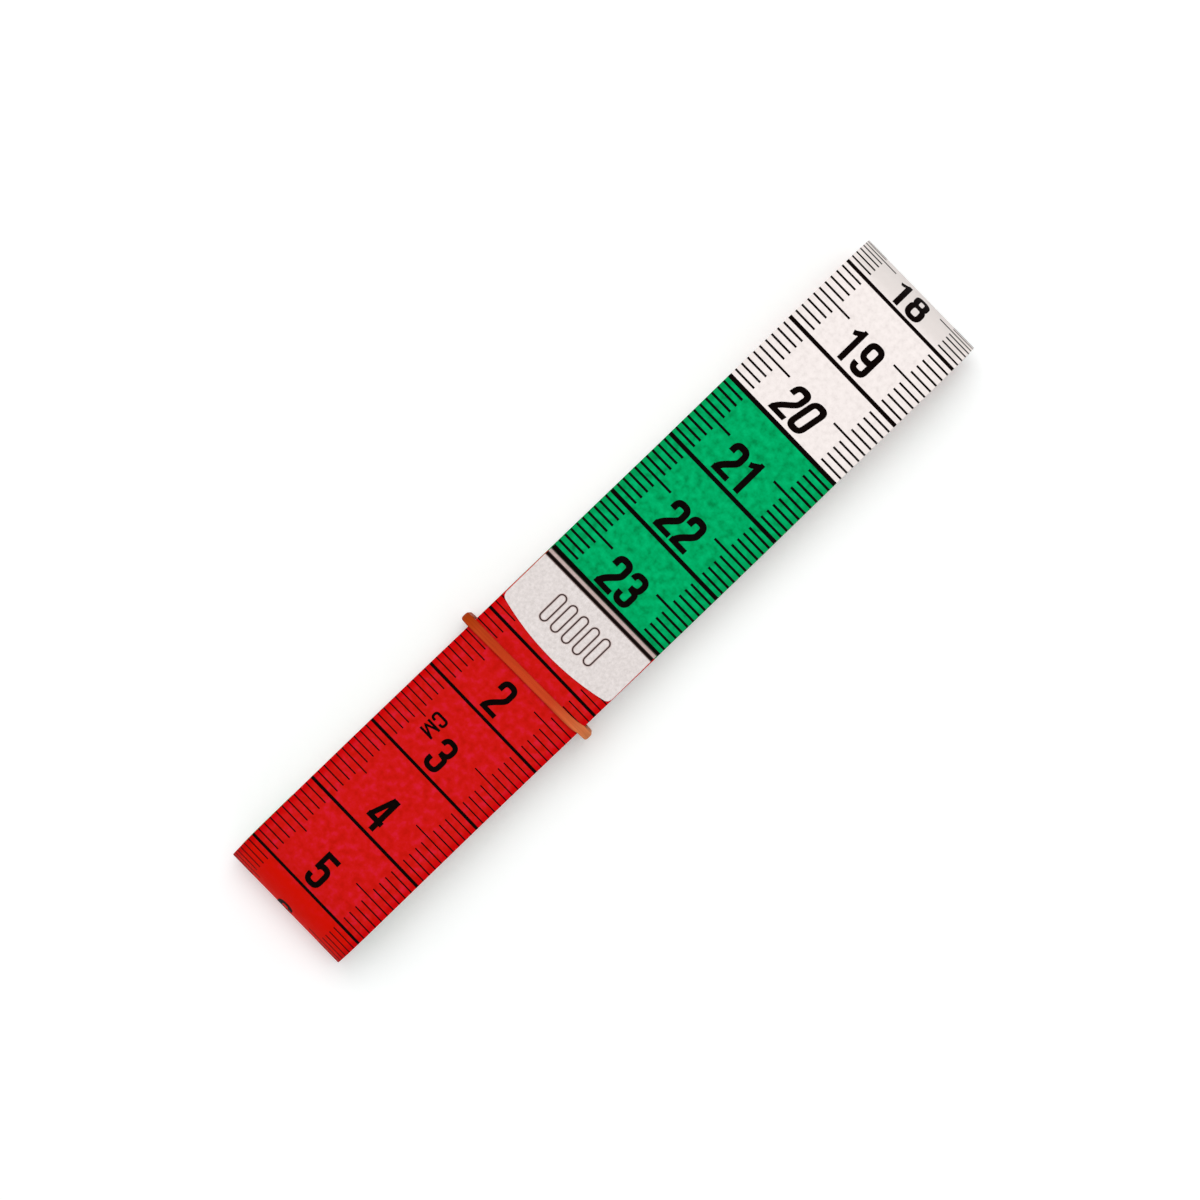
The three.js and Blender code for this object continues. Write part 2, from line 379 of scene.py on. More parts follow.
def printersBlack():
    # screen ink on the coating: matt near black, a little thinner in small spots
    material, tree, shader = startMaterial("screenInkBlack", Roughness=0.6, Specular_IOR_Level=0.02)
    spots = addNode(tree, "ShaderNodeTexCoord").outputs["Object"]
    wear = addNode(tree, "ShaderNodeTexNoise", {
        "Vector": spots, "Scale": 1 / (inkLook["spotSize"] * metresPerMillimetre), "Detail": 2.0})
    black = addNode(tree, "ShaderNodeValToRGB", {"Fac": wear.outputs["Fac"]},
                    stops=inkLook["tones"])
    tree.links.new(black.outputs["Color"], shader.inputs["Base Color"])
    return material


plateLook = dict(
    grainSize=0.4545,  # finer on the real one: drawn as coarse as it needs to be to show
    grainDepth=0.003,
    tones=[(0.3, "#d6cecb"), (0.7, "#eee6e4")],
    # the painted shade's tones, from none to the darkest
    shadeTones=[(0.0, "#ffffff"), (0.3, "#dccac7"), (0.6, "#5e5150"), (1.0, "#140d0b")],
)


def nickelPlate():
    # nickel-plated steel strip, tumbled to an even soft silver; painted shade darkens it over the
    # fold's bead, in the groove, towards the folded tip and along the pressed outlines
    material, tree, shader = startMaterial("nickelPlatedSteel", Roughness=0.36, Metallic=1.0)
    spots = addNode(tree, "ShaderNodeTexCoord").outputs["Object"]
    grain = addNode(tree, "ShaderNodeTexNoise", {
        "Vector": spots, "Scale": 1 / (plateLook["grainSize"] * metresPerMillimetre),
        "Detail": 4.0, "Roughness": 0.7})
    plate = addNode(tree, "ShaderNodeValToRGB", {"Fac": grain.outputs["Fac"]},
                    stops=plateLook["tones"])
    # painted shade multiplies the plate's colour
    paintedShade = addNode(tree, "ShaderNodeAttribute", attribute_name="paintedShade")
    shadeTone = addNode(tree, "ShaderNodeValToRGB", {"Fac": paintedShade.outputs["Fac"]},
                     stops=plateLook["shadeTones"])
    colour = addNode(tree, "ShaderNodeMix", {
        "Factor": 1.0, mixFirst: plate.outputs["Color"], mixSecond: shadeTone.outputs["Color"]},
        data_type="RGBA", blend_type="MULTIPLY")
    tree.links.new(colour.outputs[mixed], shader.inputs["Base Color"])
    bump = addNode(tree, "ShaderNodeBump", {
        "Height": grain.outputs["Fac"], "Strength": 0.2,
        "Distance": plateLook["grainDepth"] * metresPerMillimetre})
    tree.links.new(bump.outputs["Normal"], shader.inputs["Normal"])
    return material


rubberLook = dict(
    halfAcross=10.7,  # the painted light and shade run from this far on the side of -Y to as far on the other
    tones=[(0.0, "#dc8653"), (0.14, "#d8673a"), (0.3, "#cc4824"),
           (0.7, "#ca421d"), (0.88, "#c4461c"), (1.0, "#a93b04")],
    turn=0.5,  # degrees, as the band is turned
    lineSize=(0.3, 8.0, 8.0),  # along the tape, across it and up
    lineDepth=0.02,
    lineTones=[(0.3, "#e2dcd9"), (0.65, "#ffffff")],
)


def bandLatex():
    # vulcanised natural rubber, cut from an extruded tube: tan brown and waxy, with faint lines
    # along its length; painted light and shade make it pale towards -Y and dark towards +Y
    material, tree, shader = startMaterial(
        "vulcanisedNaturalRubber", Roughness=0.5, IOR=1.52, Specular_IOR_Level=0.02)
    spots = addNode(tree, "ShaderNodeTexCoord").outputs["Object"]
    # painted light and shade along the band: pale towards -Y, dark towards +Y
    place = addNode(tree, "ShaderNodeSeparateXYZ", {"Vector": spots})
    end = rubberLook["halfAcross"] * metresPerMillimetre
    side = addNode(tree, "ShaderNodeMapRange", {
        "Value": place.outputs["Y"], "From Min": -end, "From Max": end})
    length = addNode(tree, "ShaderNodeValToRGB", {"Fac": side.outputs[0]},
                     stops=rubberLook["tones"])
    drawn = addNode(tree, "ShaderNodeMapping", {
        "Vector": spots, "Rotation": (0, 0, math.radians(rubberLook["turn"])),
        "Scale": inMetres(rubberLook["lineSize"])}, vector_type="TEXTURE")
    lines = addNode(tree, "ShaderNodeTexNoise", {
        "Vector": drawn.outputs[0], "Scale": 1.0, "Detail": 2.0})
    shade = addNode(tree, "ShaderNodeValToRGB", {"Fac": lines.outputs["Fac"]},
                    stops=rubberLook["lineTones"])
    colour = addNode(tree, "ShaderNodeMix", {
        "Factor": 1.0, mixFirst: length.outputs["Color"], mixSecond: shade.outputs["Color"]},
        data_type="RGBA", blend_type="MULTIPLY")
    tree.links.new(colour.outputs[mixed], shader.inputs["Base Color"])
    bump = addNode(tree, "ShaderNodeBump", {
        "Height": lines.outputs["Fac"], "Strength": 0.4,
        "Distance": rubberLook["lineDepth"] * metresPerMillimetre})
    tree.links.new(bump.outputs["Normal"], shader.inputs["Normal"])
    return material


clothColours = ["red", "white", "green"]
clothMaterials = [coatedCloth(name) for name in clothColours] + [cutEdge()]
ink = printersBlack()
nickel = nickelPlate()
latex = bandLatex()
print("materials made")


# The tape itself, in two pieces that meet under the band

def tapeStations(start, end, finest=None):
    inside = [place for place in linePlaces if start < place < end]
    borders = [tape["colourLength"] * count for count in range(1, tape["colourCount"])]
    inside += [place for place in borders if start < place < end]
    if finest:
        steps = round((end - start) / finest)
        inside += [start + (end - start) * step / steps for step in range(1, steps)]
    stations = [start]
    for place in sorted(inside) + [end]:
        if place - stations[-1] > tape["leastStep"]:
            stations.append(place)
    return stations


def makeTape(name, start, end, finest=None):
    bm = bmesh.new()
    section = ringSection(
        tape["width"] / 2, tape["innerFace"], tape["outerFace"], tape["edgeRounding"])
    alongLayer = bm.verts.layers.float.new("along")
    acrossLayer = bm.verts.layers.float.new("across")
    flatPlaces = {}  # where each point of the wound cloth lies when it is flat

    def keyOf(point):
        return tuple(round(c, 4) for c in point)

    def place(along, across, through):
        point = onTape(along, across, through)
        flatPlaces[keyOf(point)] = (along, across)
        return point

    sweep(bm, tapeStations(start, end, finest), section, place)
    for vert in bm.verts:
        vert[alongLayer], vert[acrossLayer] = flatPlaces[keyOf(vert.co)]
    uv = bm.loops.layers.uv.new("clothThreads")
    # the coating runs over the rounded corner, and only what lies further out is cut edge
    edgeAcross = tape["width"] / 2 - tape["edgeRounding"] / 4
    for face in bm.faces:
        middle = sum(vert[alongLayer] for vert in face.verts) / len(face.verts)
        offMiddle = abs(sum(vert[acrossLayer] for vert in face.verts)) / len(face.verts)
        colour = int(middle / tape["colourLength"]) % len(clothColours)
        face.material_index = len(clothColours) if offMiddle > edgeAcross else colour
        for loop in face.loops:
            loop[uv].uv = (loop.vert[acrossLayer], loop.vert[alongLayer])
    return finishPiece(bm, name, clothMaterials)


woundTape = makeTape("woundTape", tape["split"], tapeLength)
tapeTip = makeTape("tapeTip", tape["start"], tape["split"], finest=tape["tipStep"])
print(f"tape swept: {len(woundTape.data.polygons)} faces, {len(tapeTip.data.polygons)} in its tip")


# The printed scale, laid out flat and then wrapped onto the tape

scale = dict(
    first=8, last=247,  # millimetres: from the ferrule's edge to where the next turn hides it
    inkOver=0.014,
    inkUnder=0.012,
    strokeLift=0.003,  # each further stroke of a figure lies this much higher
    edgeGap=0.02,
    skew=-0.008,
    # where the print runs off true, over what length and how far
    creep=[(32, 9, -0.15), (174, 5, 0.45), (188, 4, -0.11), (212, 16, 0.32)],
    widerLines={200: 0.6},
    figureHeight=4.74,
    figurePitch=2.83,
    baseline=0.76,  # how far from its line a number stands
    singleMiddle=0.27,  # the middle of a number of one figure, across the tape, and of two
    pairMiddle=0.16,
    # numbers that aren't as the others: their lean, their place up and across, height and pitch
    leans={20: 0.18},
    nudges={3: (-0.1, -0.05), 4: (-0.1, 0), 5: (-0.08, -0.08), 18: (-0.2, 0.15),
            19: (-0.08, 0.02), 20: (-0.03, 0.12), 21: (-0.04, 0.03), 22: (0, 0.03),
            23: (-0.16, 0.02)},
    heights={5: 4.66, 23: 4.95},
    pitches={18: 2.67, 19: 2.69, 20: 2.79},
    bowPower=2.7,  # 2 would make the figures' bows round, and more makes them squarer
    mitreLimit=1.6,  # a stroke grows no wider than this where it turns
    longestStep=0.3,
    # the unit's letters: place along and across, width, height and stroke
    unitLetters=[("C", 23.44, 4.56, 1.2, 2.22, 0.34), ("M", 24.88, 4.47, 1.63, 2.02, 0.31)],
)
# How each colour is printed: thickness of ticks, lines and strokes, the figures' width, then the
# lengths of short and long ticks at the edge on the side of +Y and at the other edge
printing = dict(
    red=dict(tick=0.16, line=0.41, stroke=0.73, figure=2.4, near=(3.45, 4.35), far=(3.55, 5.5)),
    white=dict(tick=0.27, line=0.52, stroke=0.8, figure=2.52, near=(3.28, 5.32), far=(3.43, 5.48)),
    green=dict(tick=0.32, line=0.56, stroke=0.86, figure=2.58, near=(3.3, 5.33), far=(3.52, 5.5)),
)


def printingAt(millimetre):  # the line between two colours is printed as those before it
    count = int((millimetre - 1) // tape["colourLength"])
    return printing[clothColours[count % len(clothColours)]]


def arc(middle, radius, start, end, steps=20):
    # degrees, anticlockwise from +X, and a little squarer than round
    points = []
    for step in range(steps + 1):
        angle = math.radians(start + (end - start) * step / steps)
        points.append(tuple(
            centre + radius * math.copysign(abs(share) ** (2 / scale["bowPower"]), share)
            for centre, share in zip(middle, (math.cos(angle), math.sin(angle)))))
    return points


def curveThrough(start, startPull, endPull, end, steps=10):
    points = []
    for step in range(steps + 1):
        t = step / steps
        shares = ((1 - t) ** 3, 3 * t * (1 - t) ** 2, 3 * t * t * (1 - t), t ** 3)
        corners = (start, startPull, endPull, end)
        points.append(tuple(sum(share * corner[axis] for share, corner in zip(shares, corners))
                            for axis in (0, 1)))
    return points


def figureStrokes(figure, w, h, t):
    # middle lines of a figure's strokes in a box of w by h, each with its share of the thickness t;
    # e is half a stroke, and r the bows' radius
    def ring(x, base, top, radius):
        line = arc((x, top - radius), radius, 180, 0) + arc((x, base + radius), radius, 0, -180)
        return line + line[:1]

    e, r = t / 2, (w - t) / 2
    left, middle, right = e, w / 2, w - e
    topBow = arc((middle, h - w / 2), r, 180, 0)
    bowFoot = min(0.74 * h, h - w / 2)
    lowBow = arc((middle, w / 2), r, 0, -180)
    if figure == "6":  # a 9 turned round
        return [([(w - x, h - y) for x, y in line], share)
                for line, share in figureStrokes("9", w, h, t)]
    return {
        "0": [(ring(middle, e, h - e, r), 1)],
        "1": [([(0.565 * w, 0), (0.565 * w, 0.93 * h)], 0.97),
              ([(0.565 * w + 0.13 * t, 0.9 * h), (0.565 * w + 0.13 * t, h)], 0.71),
              ([(0.12 * w, 0.755 * h), (0.24 * w, 0.775 * h), (0.62 * w, 0.915 * h)], 0.8)],
        "2": [([(left, 0.655 * h)] + topBow
               + curveThrough((right, 0.61 * h), (right, 0.46 * h),
                              (0.04 * w + e, 0.3 * h), (left, 0.06 * h))
               + [(left, 0)], 1),
              ([(0, 0.42 * t), (w, 0.42 * t)], 0.85)],
        "3": [([(left, bowFoot)] + topBow
               + curveThrough((right, bowFoot), (right, 0.62 * h),
                              (0.8 * w, 0.53 * h), (0.36 * w, 0.53 * h)), 0.92),
              (curveThrough((0.45 * w, 0.52 * h), (0.8 * w, 0.52 * h),
                            (right, 0.47 * h), (right, 0.38 * h))
               + lowBow + [(left, 0.32 * h)], 0.92)],
        "4": [([(0.74 * w, 0), (0.74 * w, h)], 1),
              ([(0.62 * w, 0.98 * h), (0.14 * w, 0.275 * h)], 0.92),
              ([(0, 0.275 * h), (w, 0.275 * h)], 0.92)],
        "5": [([(0.07 * w, h - 0.46 * t), (0.91 * w, h - 0.46 * t)], 0.92),
              ([(0.18 * w, h), (0.18 * w, 0.465 * h)], 0.9),
              (curveThrough((0.18 * w, 0.47 * h), (0.25 * w, 0.585 * h),
                            (0.38 * w, 0.605 * h), (0.52 * w, 0.605 * h))
               + curveThrough((0.52 * w, 0.605 * h), (0.78 * w, 0.605 * h),
                              (right, 0.54 * h), (right, 0.43 * h))
               + lowBow + [(left, 0.285 * h)], 1)],
        "7": [([(0, h - 0.46 * t), (w, h - 0.46 * t)], 0.92),
              (curveThrough((right, h - 0.3 * t), (right, 0.7 * h),
                            (0.42 * w, 0.5 * h), (0.36 * w, 0)), 1)],
        "8": [(ring(middle, 0.53 * h, h - e, 0.45 * w - e), 1),
              (ring(middle, e, 0.53 * h, r), 1)],
        "9": [(ring(middle, 0.455 * h, h - e, r), 1),
              ([(right, h - w / 2)] + lowBow + [(left, 0.28 * h)], 1)],
        "C": [([(right, 0.66 * h)] + arc((middle, h - w / 2), r, 0, 180)
               + arc((middle, w / 2), r, 180, 360) + [(right, 0.34 * h)], 1)],
        "M": [([(left, 0), (left, h)], 1), ([(right, 0), (right, h)], 1),
              ([(left, h - e), (middle, e), (right, h - e)], 0.9)],
    }[figure]


def inShortSteps(points):
    finer = [Vector(points[0])]
    for point in points[1:]:
        start, end = finer[-1].copy(), Vector(point)
        length = (end - start).length
        steps = max(1, math.ceil(length / scale["longestStep"]))
        if length > weldDistance:
            finer += [start.lerp(end, step / steps) for step in range(1, steps + 1)]
    return finer


def inkStroke(bm, points, width, flatPlace, lift):
    # one pen stroke of ink, as thick as the ink lies, mapped to (along, across) by flatPlace
    points = inShortSteps(points)
    closed = (points[0] - points[-1]).length < weldDistance
    if closed:
        points.pop()
    stations = []
    for index, point in enumerate(points):
        arriving = point - points[index - 1] if index or closed else Vector((0, 0))
        more = index < len(points) - 1 or closed
        leaving = points[(index + 1) % len(points)] - point if more else Vector((0, 0))
        into = (arriving if arriving.length else leaving).normalized()
        out = (leaving if leaving.length else arriving).normalized()
        along = (into + out).normalized()
        mitre = 1 / max(along.dot(into), 1 / scale["mitreLimit"])
        stations.append((point, Vector((-along.y, along.x)) * mitre))

    def place(station, sideways, through):
        point, normal = station
        along, across = flatPlace(point + normal * sideways)
        return Vector((along, across, through))

    half = width / 2
    low = tape["outerFace"] - scale["inkUnder"]
    high = tape["outerFace"] + scale["inkOver"] + lift
    section = [(-half, high), (0, high), (half, high), (half, low), (-half, low)]
    sweep(bm, stations, section, place, closed)


def inkBar(bm, along, width, fromAcross, toAcross):
    low, high = tape["outerFace"] - scale["inkUnder"], tape["outerFace"] + scale["inkOver"]
    size = Vector((width, abs(toAcross - fromAcross), high - low))
    middle = Vector((along, (fromAcross + toAcross) / 2, (low + high) / 2))
    shape = Matrix.Translation(middle) @ Matrix.Diagonal((*size, 1))
    bmesh.ops.create_cube(bm, size=1, matrix=shape)


def writeFigure(bm, figure, box, flatPlace):
    for count, (line, share) in enumerate(figureStrokes(figure, *box)):
        inkStroke(bm, line, box[2] * share, flatPlace, count * scale["strokeLift"])


def writeNumber(bm, number, line):
    text, look = str(number), printingAt(line)
    middle = scale["pairMiddle"] if len(text) > 1 else scale["singleMiddle"]
    lean = scale["leans"].get(number, 0)
    up, aside = scale["nudges"].get(number, (0, 0))
    height = scale["heights"].get(number, scale["figureHeight"])
    pitch = scale["pitches"].get(number, scale["figurePitch"])
    start = middle + (look["figure"] + pitch * (len(text) - 1)) / 2
    for count, figure in enumerate(text):

        def flatPlace(point):
            upright = point.x + lean * (point.y - height / 2)
            return line - scale["baseline"] - point.y - up, start + aside - count * pitch - upright

        writeFigure(bm, figure, (look["figure"], height, look["stroke"]), flatPlace)


def writeUnit(bm):  # the unit's two letters stand across the figures' way
    for letter, along, across, width, height, stroke in scale["unitLetters"]:

        def flatPlace(point):
            return along + point.x, across - point.y

        writeFigure(bm, letter, (width, height, stroke), flatPlace)


def printed(along, across, through):  # where the printing rollers really put a point
    creep = sum(amount * math.exp(-((along - place) / spread) ** 2)
                for place, spread, amount in scale["creep"])
    return onTape(along + creep + scale["skew"] * across, across, through)


def makePrint(name, first, last):
    bm = bmesh.new()
    edge = tape["width"] / 2 - scale["edgeGap"]
    for millimetre in range(first, last + 1):
        look = printingAt(millimetre)
        if millimetre % 10 == 0:
            width = scale["widerLines"].get(millimetre, look["line"])
            inkBar(bm, millimetre, width, -edge, edge)
            if millimetre > 10:  # the 1 would lie under the ferrule
                writeNumber(bm, millimetre // 10, millimetre)
            continue
        long = millimetre % 5 == 0
        inkBar(bm, millimetre, look["tick"], edge, edge - look["near"][long])
        inkBar(bm, millimetre, look["tick"], -edge, look["far"][long] - edge)
    if first < scale["unitLetters"][0][1] < last:
        writeUnit(bm)
    for vert in bm.verts:
        vert.co = printed(*vert.co)
    return finishPiece(bm, name, [ink])


tipPrint = makePrint("tipPrint", scale["first"], int(tape["split"]))
scalePrint = makePrint("scalePrint", int(tape["split"]) + 1, scale["last"])
print(f"scale printed: {len(scalePrint.data.polygons) + len(tipPrint.data.polygons)} faces")


# Ferrules

ferrule = dict(
    length=9.0,
    sideLength=7.8,
    width=18.38,
    sheet=0.22,
    clearance=0.04,
    reach=0.55,  # how far the fold stands out past the end of the cloth
    cornerRadius=0.6,
    grooveStart=0.06,
    grooveWidth=0.6,
    grooveDepth=0.1,
    edgeRounding=0.05,  # at most: the modifier holds it to what the narrowest faces allow
    roundingSteps=2,
    roundedFrom=50.0,  # degrees: edges that turn by less aren't rounded
    plateRows=110,
    columns=190,
    hiddenPlateRows=60,  # the inner ferrule is hardly seen
    hiddenColumns=100,
    grooveRows=18,
    foldRows=14,
    underRows=14,
    crowding=0.3,  # columns stand closer in the middle, where the ribs are
    offMiddle=0.06,
    # painted shade: over the fold's bead, a dark line in the groove, and darker towards the folded
    # tip
    beadShade=0.3,
    grooveShadeMiddle=0.31,  # the painted dark line in the groove
    grooveShadeHalf=0.35,
    tipShade=0.9,
    tipFrom=-0.3,
    ribCount=5,  # outlines pressed into the outer face, for grip
    ribPitch=1.9,
    ribHalfLength=1.5,
    ribRadius=0.55,
    ribMiddle=4.5,
    ribLineWidth=0.1,
    ribDepth=0.05,
)


def curvedEdge(across):  # how far the plate reaches back along the tape
    half = ferrule["width"] / 2
    bow = ferrule["length"] - ferrule["sideLength"]
    radius = (half * half + bow * bow) / (2 * bow)
    reach = ferrule["length"] - radius + math.sqrt(radius * radius - across * across)
    intoCorner = max(abs(across) - (half - ferrule["cornerRadius"]), 0)
    corner = ferrule["cornerRadius"]
    return reach - (corner - math.sqrt(max(corner * corner - intoCorner * intoCorner, 0)))


def pressedShare(along, across):
    # how deep the outlines of a row of slim rounded ribs lie here, 0 to 1
    share = 0
    for count in range(ferrule["ribCount"]):
        middle = (count - (ferrule["ribCount"] - 1) / 2) * ferrule["ribPitch"]
        past = max(abs(along - ferrule["ribMiddle"]) - ferrule["ribHalfLength"], 0)
        fromLine = math.hypot(past, across - middle) - ferrule["ribRadius"]
        share = max(share, math.exp(-(fromLine / ferrule["ribLineWidth"]) ** 2))
    return share


def grooveShare(along):  # 1 over most of the groove, and 0 at its sides
    middle = ferrule["grooveStart"] + ferrule["grooveWidth"] / 2
    share = min(abs(along - middle) / (ferrule["grooveWidth"] / 2), 1)
    return 1 - share ** 4


# how much painted shade darkens the plate here, 0 to 1: over the fold's bead, in the groove,
# towards the folded tip, and along the pressed outlines of the outer face
def tarnishAt(along, across, outerFace):
    bead = ferrule["beadShade"] if along < ferrule["grooveShadeMiddle"] else 0
    grooveShade = max(1 - abs((along - ferrule["grooveShadeMiddle"]) / ferrule["grooveShadeHalf"]) ** 4, 0) ** 2
    tip = (along - ferrule["tipFrom"]) / (-ferrule["reach"] - ferrule["tipFrom"])
    toned = bead + (ferrule["tipShade"] - bead) * min(max(tip, 0), 1)
    return max(toned, grooveShade, pressedShare(along, across) if outerFace else 0)


def makeFerrule(name, place, plateRows, columns):
    # a grid from the outer plate's edge over the fold to the under plate's, then given its wall
    outside = tape["thickness"] / 2 + ferrule["clearance"] + ferrule["sheet"]
    foldMiddle = outside - ferrule["reach"]
    grooveEnd = ferrule["grooveStart"] + ferrule["grooveWidth"]
    rows, turns = ferrule["grooveRows"], ferrule["foldRows"]
    top = [("plate", 1 - row / plateRows) for row in range(plateRows + 1)]
    groove = [("groove", 1 - row / rows) for row in range(1, rows + 1)]
    fold = [("fold", math.pi * (0.5 + row / turns)) for row in range(turns + 1)]
    under = [("plate", 1 - row / ferrule["underRows"]) for row in range(ferrule["underRows"] + 1)]
    stations = [(1, *s) for s in top + groove] + [(0, *s) for s in fold]
    stations += [(-1, *s) for s in (under + groove)[::-1]]
    half, crowding = ferrule["width"] / 2, ferrule["crowding"]
    bm = bmesh.new()
    # painted shade for each point, which the plate's colour reads
    paintedShade = bm.verts.layers.float.new("paintedShade")
    last = len(stations) - 1
    grid = bmesh.ops.create_grid(bm, x_segments=last, y_segments=columns, size=0.5)
    for vert in grid["verts"]:
        side, part, share = stations[round((vert.co.x + 0.5) * last)]
        spread = (1 + crowding) * 2 * vert.co.y - crowding * math.sin(vert.co.y * math.pi)
        across = half * spread
        if part == "plate":
            along = grooveEnd + (curvedEdge(across) - grooveEnd) * share
            pressed = ferrule["ribDepth"] * pressedShare(along, across) if side > 0 else 0
            through = side * (outside - pressed)
        elif part == "groove":
            along = foldMiddle + (grooveEnd - foldMiddle) * share
            through = side * (outside - ferrule["grooveDepth"] * grooveShare(along))
        else:
            along = foldMiddle + outside * math.cos(share)
            through = outside * math.sin(share)
        vert.co = (along, across, through)
        vert[paintedShade] = tarnishAt(along, across, side > 0)
    bmesh.ops.remove_doubles(bm, verts=bm.verts, dist=weldDistance)
    bmesh.ops.recalc_face_normals(bm, faces=bm.faces)
    bmesh.ops.solidify(bm, geom=bm.faces[:], thickness=ferrule["sheet"])
    for vert in bm.verts:
        vert.co = place @ vert.co
    piece = finishPiece(bm, name, [nickel])
    rounding = piece.modifiers.new("roundedEdges", "BEVEL")
    rounding.width = ferrule["edgeRounding"] * metresPerMillimetre
    rounding.segments = ferrule["roundingSteps"]
    rounding.limit_method = "ANGLE"
    rounding.angle_limit = math.radians(ferrule["roundedFrom"])
    return piece


outerPlace = Matrix.Translation((tape["outerEnd"], ferrule["offMiddle"], tipHeight))
innerPlace = Matrix.Translation((tape["innerEnd"], 0, middleHeight))
outerFerrule = makeFerrule("outerFerrule", outerPlace @ Matrix.Rotation(math.pi, 4, "Z"),
                           ferrule["plateRows"], ferrule["columns"])
innerFerrule = makeFerrule("innerFerrule", innerPlace,
                           ferrule["hiddenPlateRows"], ferrule["hiddenColumns"])
ferruleFaces = [len(piece.data.polygons) for piece in (outerFerrule, innerFerrule)]
print(f"ferrules made: {ferruleFaces[0]} and {ferruleFaces[1]} faces")


# Rubber band

band = dict(
    fromEnd=12.8,  # its middle, from the zero end
    width=1.24,
    widthOnTop=1.14,
    thicknessAcross=0.68,
    thicknessBeside=1.1,
    gap=0.03,  # to the printed face, and to the cut edges
    sideGap=0.28,
    cornerRadius=0.75,
    turn=rubberLook["turn"],
    offMiddle=0.15,
    slip=0.3,  # how far the side towards -Y has slipped along the tape
    slipPower=12,  # the more, the closer to that side the slip begins
    widthPower=3,  # and the same for the change from widthOnTop to width, on both sides
    roundnessPower=3.6,  # 2 would make the band's section round, and more makes it squarer
    straightSteps=40,
    cornerSteps=10,
    sectionPoints=20,
    smoothAngle=80.0,
)


def bandLine():  # points across the tape and over its middle, each with the way that is outwards
    radius = band["cornerRadius"]
    across = tape["width"] / 2 + band["sideGap"] - radius
    up = layerHeight(0) + tape["outerFace"] + band["gap"] - radius

    def cornerStation(corner, share):
        angle = math.pi / 2 * (corner + share)
        outward = Vector((math.cos(angle), math.sin(angle)))
        signAcross, signUp = ((1, 1), (-1, 1), (-1, -1), (1, -1))[corner]
        return Vector((signAcross * across, signUp * up)) + outward * radius, outward

    stations = []
    for corner in range(4):
        for step in range(band["cornerSteps"] + 1):
            stations.append(cornerStation(corner, step / band["cornerSteps"]))
        start = stations[-1][0]
        end, outward = cornerStation((corner + 1) % 4, 0)
        for step in range(1, band["straightSteps"]):
            stations.append((start.lerp(end, step / band["straightSteps"]), outward))
    return stations


def makeBand():
    bm = bmesh.new()
    section = []
    for step in range(band["sectionPoints"]):
        angle = 2 * math.pi * step / band["sectionPoints"]
        section.append(tuple(
            math.copysign(abs(value) ** (2 / band["roundnessPower"]), value) / 2
            for value in (math.cos(angle), math.sin(angle))))
    turn = Matrix.Rotation(math.radians(band["turn"]), 4, "Z")
    middle = Vector((tape["outerEnd"] - band["fromEnd"], band["offMiddle"], middleHeight))
    reach = tape["width"] / 2
    thicker = band["thicknessBeside"] - band["thicknessAcross"]
    wider = band["width"] - band["widthOnTop"]

    def place(station, sideways, outwards):
        point, outward = station
        thickness = band["thicknessAcross"] + thicker * abs(outward.x)
        width = band["widthOnTop"] + wider * min(abs(point.x) / reach, 1) ** band["widthPower"]
        out = point + outward * thickness * (outwards + 0.5)
        slipped = band["slip"] * min(max(-out.x / reach, 0), 1) ** band["slipPower"]
        return middle + turn @ Vector((sideways * width + slipped, out.x, out.y))

    sweep(bm, bandLine(), section, place, closed=True)
    return finishPiece(bm, "rubberBand", [latex], band["smoothAngle"])


rubberBand = makeBand()
print("band made")


# What each piece stands for and moves with

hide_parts("tape_winding")
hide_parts("tape_free_end")
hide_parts("outer_ferrule")
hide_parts("inner_ferrule")
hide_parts("rubber_band")
for piece in (woundTape, scalePrint, innerFerrule):
    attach(piece, "bundle")
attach(outerFerrule, "free_end")
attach(rubberBand, "band")

for piece in (tapeTip, tipPrint):
    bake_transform(piece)


# Floor, light and camera

studio = dict(
    floorColour="#f8fafa",
    floorSize=1600.0,
    floorGlow=0.16,
    floorFade=(120.0, 500.0),  # from the middle, over which the floor turns to plain white
    worldLight=0.56,
    keyPower=2.79,  # watts
    keySize=500.0,
    keyPlace=(0.0, 200.0, 720.0),  # seen in the picture: right, up, towards the camera
    photoTurn=44.25,  # the bundle's angle in the picture, degrees
    photoMiddle=(4.5, -2.0),  # the bundle's middle, in pixels right and up of the picture's centre
    pixelsPerMillimetre=8.205,
    pictureWidth=1200,
    cameraHeight=400.0,
    nearest=10.0,  # the camera sees nothing closer
    sensor=36.0,
)
turned = math.radians(studio["photoTurn"])
pictureRight = Vector((math.cos(turned), -math.sin(turned), 0))
pictureUp = Vector((math.sin(turned), math.cos(turned), 0))


def lightPath(tree, names):  # 1 for these kinds of ray
    path = addNode(tree, "ShaderNodeLightPath")
    total = path.outputs[names[0]]
    for name in names[1:]:
        total = addNode(tree, "ShaderNodeMath", {0: total, 1: path.outputs[name]},
                        operation="MAXIMUM").outputs[0]
    return total


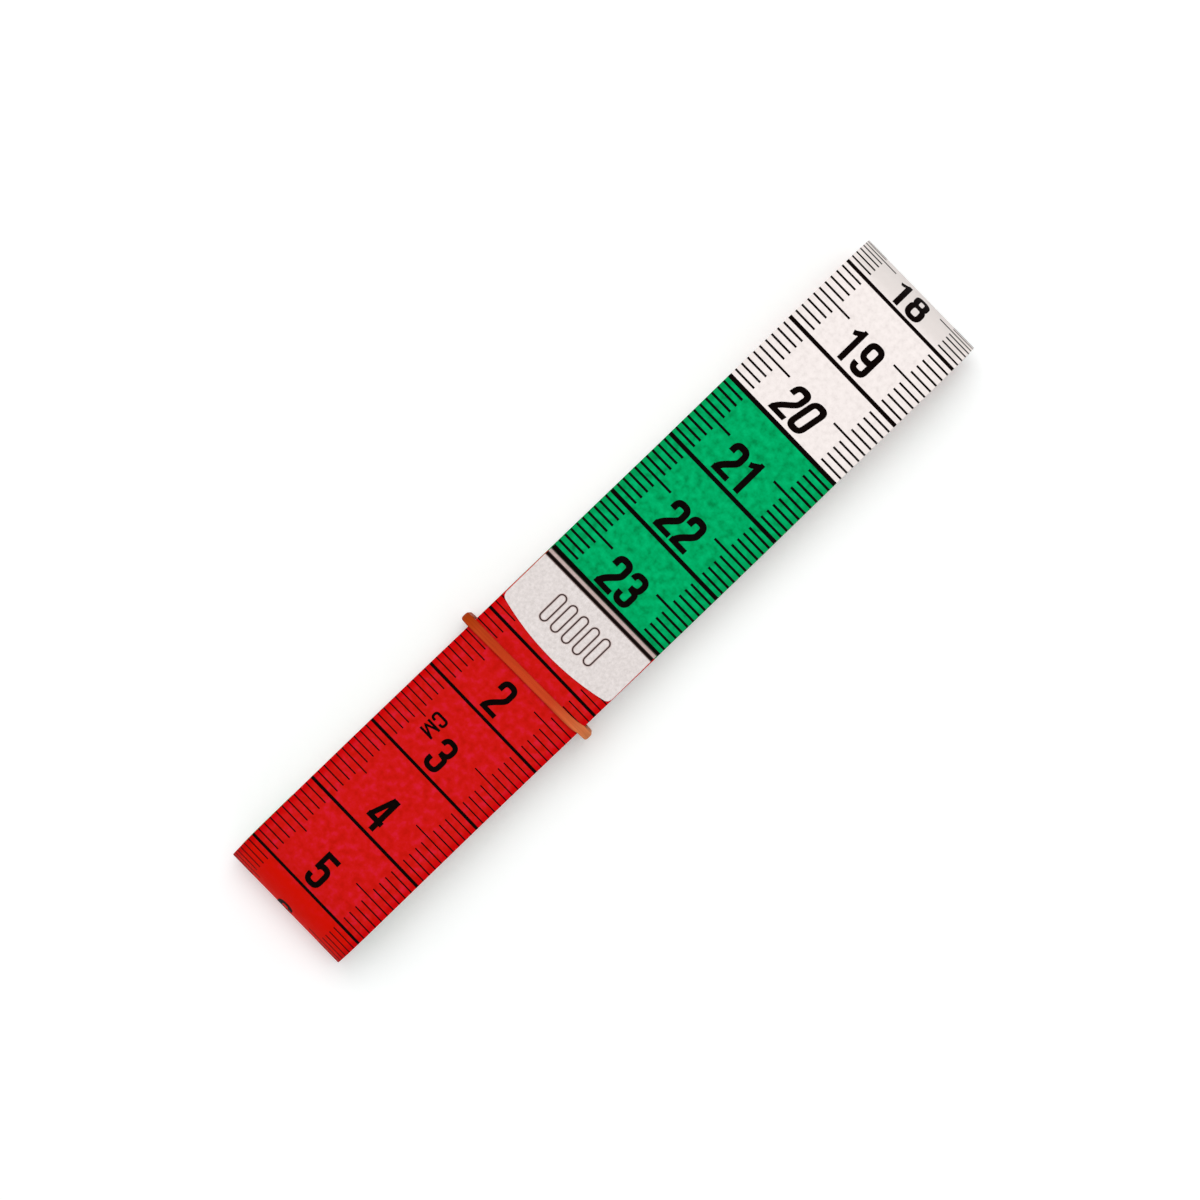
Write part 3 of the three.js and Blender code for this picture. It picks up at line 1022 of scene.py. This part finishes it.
def makeFloor():
    # painted board: dull and white, and plain white far off, where a camera or a mirror sees it
    bm = bmesh.new()
    bmesh.ops.create_grid(bm, x_segments=1, y_segments=1, size=studio["floorSize"] / 2)
    material, tree, shader = startMaterial("paintedBoard", Roughness=0.9)
    shader.inputs["Base Color"].default_value = toLinear(studio["floorColour"])
    shader.inputs["Emission Color"].default_value = toLinear(studio["floorColour"])
    spots = addNode(tree, "ShaderNodeTexCoord").outputs["Object"]
    distance = addNode(tree, "ShaderNodeVectorMath", {0: spots}, operation="LENGTH")
    start, end = inMetres(studio["floorFade"])
    level = addNode(tree, "ShaderNodeMapRange", {
        "Value": distance.outputs["Value"], "From Min": start, "From Max": end,
        "To Min": studio["floorGlow"], "To Max": 1.0})
    seen = lightPath(tree, ["Is Camera Ray", "Is Glossy Ray"])
    glow = addNode(tree, "ShaderNodeMath", {0: seen, 1: level.outputs[0]}, operation="MULTIPLY")
    tree.links.new(glow.outputs[0], shader.inputs["Emission Strength"])
    finishPiece(bm, "floorBoard", [material])


def makeWorld():
    world = bpy.data.worlds.new("studioWorld")
    bpy.context.scene.world = world
    world.use_nodes = True
    tree = world.node_tree
    background = tree.nodes["Background"]
    background.inputs["Color"].default_value = toLinear("#ffffff")
    seen = lightPath(tree, ["Is Camera Ray", "Is Glossy Ray", "Is Transmission Ray"])
    level = addNode(tree, "ShaderNodeMapRange", {
        "Value": seen, "To Min": studio["worldLight"], "To Max": 1.0})
    tree.links.new(level.outputs[0], background.inputs["Strength"])


def makeKeyLight():
    lamp = bpy.data.lights.new("softbox", "AREA")
    lamp.energy = studio["keyPower"]
    lamp.size = studio["keySize"] * metresPerMillimetre
    light = bpy.data.objects.new("softbox", lamp)
    light.visible_glossy = False  # metal mirrors the pale room, not the lamp
    bpy.context.collection.objects.link(light)
    right, up, height = inMetres(studio["keyPlace"])
    light.location = pictureRight * right + pictureUp * up + Vector((0, 0, height))
    light.rotation_euler = (-light.location).to_track_quat("-Z", "Y").to_euler()


def makeCamera():
    # straight above, turned and shifted so that the bundle lies in the picture as photographed
    lens = bpy.data.cameras.new("camera")
    lens.sensor_width = studio["sensor"]
    lens.lens = (studio["sensor"] * studio["cameraHeight"]
                 * studio["pixelsPerMillimetre"] / studio["pictureWidth"])
    lens.clip_start = studio["nearest"] * metresPerMillimetre
    camera = bpy.data.objects.new("camera", lens)
    bpy.context.collection.objects.link(camera)
    offset = [-pixels / studio["pixelsPerMillimetre"] for pixels in studio["photoMiddle"]]
    right, up, height = inMetres((*offset, tipHeight + studio["cameraHeight"]))
    camera.location = pictureRight * right + pictureUp * up + Vector((0, 0, height))
    camera.rotation_euler = (0, 0, -turned)
    bpy.context.scene.camera = camera


makeFloor()
makeWorld()
makeKeyLight()
makeCamera()
bpy.context.scene.view_settings.view_transform = "Standard"
print("studio set")
